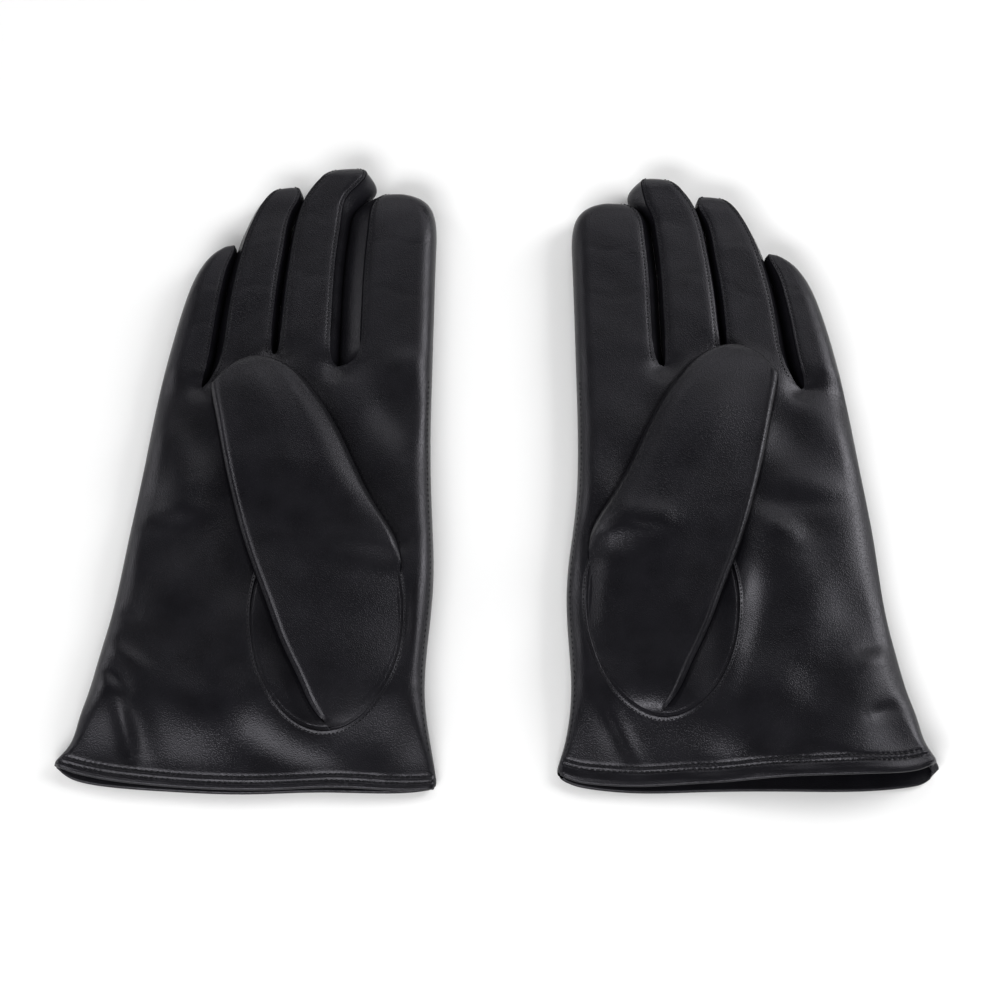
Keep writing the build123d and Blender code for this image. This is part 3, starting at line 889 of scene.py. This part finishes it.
HEM_PITCH, HEM_STITCH, HEM_THREAD = 2.0, 1.5, 0.3
SIDE_PITCH, SIDE_STITCH, SIDE_THREAD = 2.2, 1.3, 0.16
SIDE_IN = 1.1           # from the glove's index side to its seam
for hand, plan in PLANS.items():
    loop = trank_loop(plan, np.linspace(0, HEM_PART, 60))
    half = (loop.shape[1] + 1) // 2
    paths, up = [], []
    for side, edge, face in ((slice(0, half), HEM_EDGE, 1), (slice(half - 1, None), BACK_EDGE, -1)):
        part = loop[:, side][:, 2:-2]
        low, high = plan.edges(part[-1, :, 1])
        part = part[:, (part[-1, :, 0] > low + 3) & (part[-1, :, 0] < high - 6)]
        from_edge = part[..., 1] - lookup(edge[hand], part[..., 0])
        for distance in STITCH_ROWS[hand]:
            row = np.maximum(np.argmax(from_edge >= distance, axis=0), 1)
            column = np.arange(part.shape[1])
            before, after = from_edge[row - 1, column], from_edge[row, column]
            share = np.clip((distance - before) / (after - before), 0, 1)[:, None]
            path = part[row - 1, column] * (1 - share) + part[row, column] * share
            path[:, 2] += face * 0.12
            paths.append(path)
            up.append((0, 0, face))
    hem_seam = stitches(f"{hand}_hem_thread", plan, paths, up, HEM_PITCH, HEM_STITCH, HEM_THREAD)
    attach(hem_seam, f"{hand}_palm")
    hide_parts(f"{hand}_hem_stitching")
    v = np.linspace(14, BASE_V[0] - 2, 300)
    low, _ = plan.edges(v)
    z = palm_heights(plan, low + SIDE_IN, v)[0]
    side_path = np.stack([low + SIDE_IN, v, z + 0.03], -1)
    side_seam = stitches(f"{hand}_side_seam_thread", plan, [side_path], [(-0.6, 0, 0.8)],
                         SIDE_PITCH, SIDE_STITCH, SIDE_THREAD)
    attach(side_seam, f"{hand}_palm")
    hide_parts(f"{hand}_side_seam_stitching")

# ------------------------------------------------------------------ the thumb
# The thumb is a tube of its own, sewn into the oval hole in the palm. It lies folded over: its upper side runs
# from the hole's index-side seam to a sharp fold, and turns under there.

# Stations up the thumb: inner edge (u, v, z), outer fold (u, v, z), crown over the line between them.
THUMB_STATIONS = [
    ((31.2, 24.2, 13.9), (33.4, 26.0, 14.6), 0.0), ((22.4, 27.6, 13.9), (37.2, 31.4, 16.0), 0.4),
    ((13.7, 36.9, 13.8), (41.8, 41.0, 17.4), 1.2), ((8.3, 49.3, 13.8), (48.4, 54.5, 18.6), 2.2),
    ((6.1, 62.5, 13.8), (54.0, 69.0, 19.4), 3.2), ((6.6, 76.0, 14.2), (59.5, 83.0, 19.8), 4.2),
    ((7.4, 91.5, 17.0), (64.4, 97.5, 20.0), 4.4), ((15.6, 107.0, 18.4), (68.7, 113.0, 20.0), 4.2),
    ((24.6, 125.0, 18.8), (72.4, 129.0, 20.0), 4.0), ((32.4, 141.5, 19.0), (75.3, 143.0, 20.0), 3.6),
    ((39.6, 153.0, 19.0), (77.1, 151.5, 19.8), 3.0), ((46.5, 161.3, 18.8), (77.0, 157.0, 19.4), 2.3),
    ((53.5, 166.0, 18.4), (73.8, 162.2, 18.8), 1.4), ((60.6, 167.7, 17.8), (68.0, 166.3, 18.0), 0.4),
    ((64.2, 167.7, 17.4), (64.8, 167.6, 17.4), 0.0),
]
OVAL_CENTRE, OVAL_RADII = (33.3, 66.2), (27.7, 42.8)         # the thumb hole's seam
THUMB_SHIFT = (3.2, -2.4)                            # the skew of the thumb and its hole
# Folds and swells in each thumb's upper side: height, ends of the line they run along, width.
THUMB_FOLDS = {
    "right": [],
    "left": [(-0.22, (12, 97), (25, 94), 0.8), (0.7, (11, 92), (8, 62), 3.6), (0.8, (12, 101), (30, 98), 5.0)],
}
THUMB_ROWS, THUMB_COLUMNS = 170, 84
FOLD_ROUND = 1.25       # how far the fold stands out, and how near the palm its lower side comes
SIDE_REACH = 3.2        # rounding of the thumb's inner side, where it is free of the hole
THUMB_CLEAR = 0.35      # from the palm to the thumb's under side
THUMB_FLAT = {"right": 0.7, "left": 0.1}             # how much flatter the thumb's base lies, and how far up
FLAT_TO, FLAT_OVER = {"right": 92, "left": 66}, 30
THUMB_TIP, TIP_OVER = 158, 8                         # v at which the tip begins to round, and over what length
SHADE_NEAREST = 0.62          # the nearest that the palm's painted shade takes it to be to the thumb's edges, so that this shade is never full
FOLD_BEAD = 0.45        # a soft ridge just inside the fold
SEWN_TO = 78.0          # v up to which the inner edge is sewn into the hole, and the length over which it comes free
FREE_OVER = 14.0
THUMB_BEND = 12.0       # a length of leather about the fold; points are reckoned from it, but the thumb is not bent

outlines = {}


def thumb_lean(hand, points):
    """Moves the thumb's and the thumb hole's plan points to where they are on this glove."""
    return np.asarray(points, float) + LEAN[hand] * np.array(THUMB_SHIFT)


def from_thumb(hand, u, v):
    """Distance of plan points from where the thumb's fold and its free inner edge lie on the palm.

    It is the least distance to the straight pieces of each line, less the fold's own round, and not under a least
    distance, so the painted shade that stays on the palm when the thumb lifts is faint and even."""
    inner, outer, loose = outlines[hand]
    far = np.full(u.shape, CREASE_SHADE_SPAN)
    for k in range(4, len(outer) - 5, 4):
        far = np.minimum(far, near_line(u, v, outer[k], outer[k + 4])[0] - FOLD_ROUND)
        beside = near_line(u, v, inner[k], inner[k + 4])[0] - 0.5
        far = np.minimum(far, beside + CREASE_SHADE_SPAN * (1 - loose[k]))
    return np.maximum(far, SHADE_NEAREST)


stations = np.array([(*inner, *outer, crown) for inner, outer, crown in THUMB_STATIONS])
for hand, plan in PLANS.items():
    rows = spline(stations, np.linspace(0, 1, THUMB_ROWS))
    inner, outer, crown = rows[:, 0:3].copy(), rows[:, 3:6].copy(), rows[:, 6]
    inner[:, :2], outer[:, :2] = thumb_lean(hand, inner[:, :2]), thumb_lean(hand, outer[:, :2])
    crown = crown * (1 - THUMB_FLAT[hand] * (1 - ease((rows[:, 1] - FLAT_TO[hand]) / FLAT_OVER)))
    sewn = 1 - ease((rows[:, 1] - SEWN_TO) / FREE_OVER)
    inner[:, 2] += sewn * (palm_heights(plan, inner[:, 0], inner[:, 1])[0] - 0.25 - inner[:, 2])
    q = edge_spaced(THUMB_COLUMNS, low=0.6, high=0.7)[None, :, None]
    upper = inner[:, None] * (1 - q) + outer[:, None] * q
    q = q[..., 0]
    loose = ease((rows[:, 1] - SEWN_TO) / FREE_OVER)[:, None]    # 0 where sewn into the hole, 1 where free
    round_in = 1 - (1 - np.clip(q / (0.42 - 0.17 * loose), 0, 1)) ** 2
    arch = crown[:, None] * round_in * (1 - 0.42 * ease((q - 0.45) / 0.5))
    u, v = upper[..., 0], upper[..., 1]
    swell = 0.3 * np.sin(0.11 * u + 0.07 * v + LEAN[hand]) + 0.12 * np.sin(0.19 * v - 0.05 * u + 2 * LEAN[hand])
    for height, start, end, fold_width in THUMB_FOLDS[hand]:
        swell = swell + height * np.exp(-(near_line(u, v, start, end)[0] / fold_width) ** 2)
    upper[..., 2] += arch + swell * ease(crown / 2.5)[:, None] * np.sin(np.pi * q) ** 0.6
    palm_z = palm_heights(plan, u, v)[0]
    width = np.linalg.norm(outer[:, :2] - inner[:, :2], axis=1)[:, None]
    low_edge = palm_z + 0.8
    side = low_edge + (upper[..., 2] - low_edge) * rounded(q * width, np.minimum(SIDE_REACH, 0.45 * width + 0.01))
    upper[..., 2] += loose * (side - upper[..., 2])
    near_tip = ease((rows[:, 1] - THUMB_TIP) / TIP_OVER)[:, None]
    round_out = rounded((1 - q) * width, np.minimum(SIDE_REACH, 0.45 * width + 0.01))
    outer_side = low_edge + (upper[..., 2] - low_edge) * round_out
    upper[..., 2] += near_tip * (outer_side - upper[..., 2])
    lower = inner[:, None] * (1 - q[..., None]) + outer[:, None] * q[..., None]
    floor = palm_heights(plan, lower[..., 0], lower[..., 1])[0] + THUMB_CLEAR
    floor = np.minimum(floor, upper[..., 2] - 0.15)
    edge_z = np.minimum(palm_z[:, -1:] + FOLD_ROUND, upper[:, -1:, 2] - 0.3)
    rise = np.clip(1 - (1 - q) / 0.10, 0, 1) ** 2
    inner_rise = np.clip(1 - q / 0.06, 0, 1) ** 2
    lower[..., 2] = floor + (np.maximum(edge_z, floor) - floor) * rise + (upper[:, :1, 2] - floor) * inner_rise
    # The fold itself: a half round of leather between the two sides.
    turn = np.linspace(0, np.pi, 9)[1:-1][None, :, None]
    away = outer - inner
    away[:, 2] = 0
    away /= np.linalg.norm(away, axis=1)[:, None] + 1e-9
    centre = (upper[:, -1:] + lower[:, -1:]) / 2
    half = (upper[:, -1:] - lower[:, -1:]) / 2
    out = np.minimum(np.linalg.norm(half, axis=2), FOLD_ROUND)[..., None]
    fold = centre + half * np.cos(turn) + away[:, None] * np.sin(turn) * out
    upper[..., 2] += FOLD_BEAD * ease(width / 12) * np.exp(-(((1 - q) * width - 0.8) / 0.9) ** 2)
    tube = np.concatenate([upper, fold, lower[:, ::-1]], axis=1)
    piece = sheet_mesh(f"{hand}_thumb_leather_tube", plan, [tube], black_leather)
    # Painted shade along the thumb's inner edge and on the under half of its fold.
    fold_shade = np.where(turn[..., 0] > 0.75, 0.2, CREASE_SHADE_SPAN) * np.ones(fold.shape[:2])
    mark_crease_shade(piece, np.concatenate([1.6 * q * width, fold_shade, np.full(lower.shape[:2], CREASE_SHADE_SPAN)], axis=1))
    outlines[hand] = inner[:, :2], outer[:, :2], loose[:, 0]
    # Painted shade on the palm along the thumb's fold and free inner edge, where the thumb shades it; none on the back
    # leather.
    trank = tranks[hand]
    points = np.empty(3 * len(trank.data.vertices), np.float32)
    trank.data.vertices.foreach_get("co", points)
    points = points.reshape(-1, 3) / MM
    beside = from_thumb(hand, points[:, 0] * plan.side - HALF_GAP, points[:, 1] + V_CENTRE)
    mark_crease_shade(trank, beside + CREASE_SHADE_SPAN * (points[:, 2] < MIDDLE_Z))
    spot, axis = pivot(hand, "thumb_fold")
    over = axis.cross(Vector((0, 0, 1))).normalized()
    over = over if over.x * plan.side > 0 else -over
    spot - over * 0.3 * THUMB_BEND * MM
    spot + over * THUMB_BEND * MM
    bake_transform(piece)
    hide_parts(f"{hand}_thumb_leather")

    shrink = np.linspace(0.07, 0.93, 40)
    rows_in = slice(12, THUMB_ROWS - 12)
    columns = np.clip((shrink * (THUMB_COLUMNS - 1)).astype(int), 0, THUMB_COLUMNS - 1)
    over_, below = upper[rows_in][:, columns], lower[rows_in][:, columns]
    thick = np.minimum(LINING_GAP, 0.25 * (over_[..., 2] - below[..., 2]))[..., None] * np.array([0, 0, 1.0])
    lining = sheet_mesh(f"{hand}_thumb_knit", plan, [closed_tube(over_ - thick, below + thick)], black_knit)
    spot - over * 0.3 * THUMB_BEND * MM
    spot + over * THUMB_BEND * MM
    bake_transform(lining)
    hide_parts(f"{hand}_thumb_lining")
    # The seam that closes the thumb runs along its under side, just behind the fold.
    seam_line = lower[30:THUMB_ROWS - 14, int(THUMB_COLUMNS * 0.93)].copy()
    seam_line[:, 2] -= 0.02
    seam = stitches(f"{hand}_thumb_seam_thread", plan, [seam_line], [(0, 0, -1)], SEAM_PITCH, SEAM_STITCH, SEAM_THREAD)
    spot - over * 0.3 * THUMB_BEND * MM
    spot + over * THUMB_BEND * MM
    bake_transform(seam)
    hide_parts(f"{hand}_thumb_stitching")

# The gusset closes the rest of the oval hole, under the folded thumb, and a turned seam runs round the hole.
# Both are the palm's own leather, sewn edge to edge with the thumb.
GUSSET_RINGS, GUSSET_STEPS = 40, 220
SEAM_RIDGE = 0.42       # how far the turned edge stands up along the seam
SEAM_WIDTH = 1.9        # over which it falls back to the palm
for hand, plan in PLANS.items():
    turn = np.linspace(0, 2 * np.pi, GUSSET_STEPS + 1)
    rim = np.stack([np.cos(turn) * OVAL_RADII[0], np.sin(turn) * OVAL_RADII[1]], -1)
    centre = thumb_lean(hand, OVAL_CENTRE)
    scale = 1 - np.linspace(0.012, 1, GUSSET_RINGS)[:, None, None] ** 1.5 * 0.998
    disc = centre + rim[None] * scale
    top = palm_heights(plan, disc[..., 0], disc[..., 1])[0]
    inset = (1 - scale[..., 0]) * OVAL_RADII[0]
    z = top + 0.15 * (1 - np.exp(-inset / 0.8)) - 0.8 * np.exp(-((inset / 0.6) ** 2))
    gusset = sheet_mesh(f"{hand}_thumb_gusset", plan, [np.concatenate([disc, z[..., None]], -1)], black_leather)
    # Painted shade beside the thumb's edges and just inside the hole's seam.
    mark_crease_shade(gusset, np.minimum(from_thumb(hand, disc[..., 0], disc[..., 1]), 1.3 * inset))
    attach(gusset, f"{hand}_palm")
    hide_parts(f"{hand}_thumb_seat")
    # The turned edge: rises gently from the palm to a ridge at the seam, then drops into it.
    away = np.array([-0.6, -0.42, -0.25, -0.05, 0.15, 0.4, 0.75, 1.2, SEAM_WIDTH])
    lift = np.array([-0.9, -0.7, -0.2, SEAM_RIDGE * 0.7, SEAM_RIDGE, SEAM_RIDGE * 0.9, 0.18, 0.06, -0.1])
    ring = centre + rim[:, None] + away[None, :, None] * (rim / np.linalg.norm(rim, axis=1)[:, None])[:, None]
    z = palm_heights(plan, ring[..., 0], ring[..., 1])[0] + lift[None]
    ring = np.concatenate([ring, z[..., None]], -1)
    edge = sheet_mesh(f"{hand}_thumb_hole_edge", plan, [ring], black_leather)
    # Painted shade in the seam's groove, inside its ridge.
    mark_crease_shade(edge, 2.5 * np.clip(away, -0.3, None) + 0.75 + np.zeros_like(z))
    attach(edge, f"{hand}_palm")
    sewn = centre + rim * 1.03
    z = palm_heights(plan, sewn[:, 0], sewn[:, 1])[0] + 0.16
    hole_seam = stitches(f"{hand}_thumb_hole_thread", plan, [np.concatenate([sewn, z[:, None]], -1)], [(0, 0, 1)],
                         SEAM_PITCH, SEAM_STITCH, SEAM_THREAD)
    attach(hole_seam, f"{hand}_palm")
    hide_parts(f"{hand}_thumb_hole_stitching")

# ------------------------------------------------------------------ the floor, light and camera
# A plain pale floor, a broad soft light low in front, softer ones at both sides and behind, and a camera that
# looks steeply down.
CAMERA_TILT = math.radians(68.0)
CAMERA_DISTANCE = 0.884
CAMERA_AIM = Vector((-0.00125, -0.0089, 0))

bpy.ops.mesh.primitive_plane_add(size=6.0, location=(0, 0, -0.0002))
floor = bpy.context.object
floor.name = "floor"
floor_material, floor_shader, _ = new_material("pale_floor", Roughness=0.9, Specular_IOR_Level=0.1)
floor_shader["Base Color"].default_value = (0.97, 0.97, 0.97, 1)
floor.data.materials.append(floor_material)

world = bpy.data.worlds.new("soft_studio")
bpy.context.scene.world = world
world.use_nodes = True
world.node_tree.nodes["Background"].inputs["Color"].default_value = (1, 1, 1, 1)
world.node_tree.nodes["Background"].inputs["Strength"].default_value = 0.10


def soft_light(name, place_, aim, size, power):
    """A rectangular light at place_, turned to aim, all in metres."""
    light = bpy.data.lights.new(name, "AREA")
    light.shape, light.size, light.size_y, light.energy = "RECTANGLE", size[0], size[1], power
    lamp = bpy.data.objects.new(name, light)
    lamp.location = place_
    lamp.rotation_euler = (Vector(aim) - Vector(place_)).to_track_quat("-Z", "Y").to_euler()
    bpy.context.scene.collection.objects.link(lamp)
    return lamp


lamps = [
    soft_light("front_box", (-0.35, -1.15, 0.95), (0, 0, 0), (1.3, 0.5), 20),
    soft_light("right_box", (0.98, 0.42, 0.62), (0, 0, 0), (0.55, 0.7), 10.5),
    soft_light("left_box", (-1.05, 0.35, 0.5), (0, 0, 0), (0.45, 0.7), 3.2),
    soft_light("far_box", (0.0, 1.5, 0.42), (0, 0, 0), (1.6, 0.3), 3.2),
    soft_light("back_box", (0.2, 0.98, 1.0), (0, 0.08, 0), (1.5, 0.35), 3.6),
]
camera_data = bpy.data.cameras.new("camera")
camera_data.lens, camera_data.sensor_width = 85, 36
camera = bpy.data.objects.new("camera", camera_data)
back = Vector((0, -math.cos(CAMERA_TILT), math.sin(CAMERA_TILT)))
camera.location = CAMERA_AIM + back * CAMERA_DISTANCE
camera.rotation_euler = (-back).to_track_quat("-Z", "Y").to_euler()
bpy.context.scene.collection.objects.link(camera)
bpy.context.scene.camera = camera
bpy.context.scene.view_settings.view_transform = "Standard"
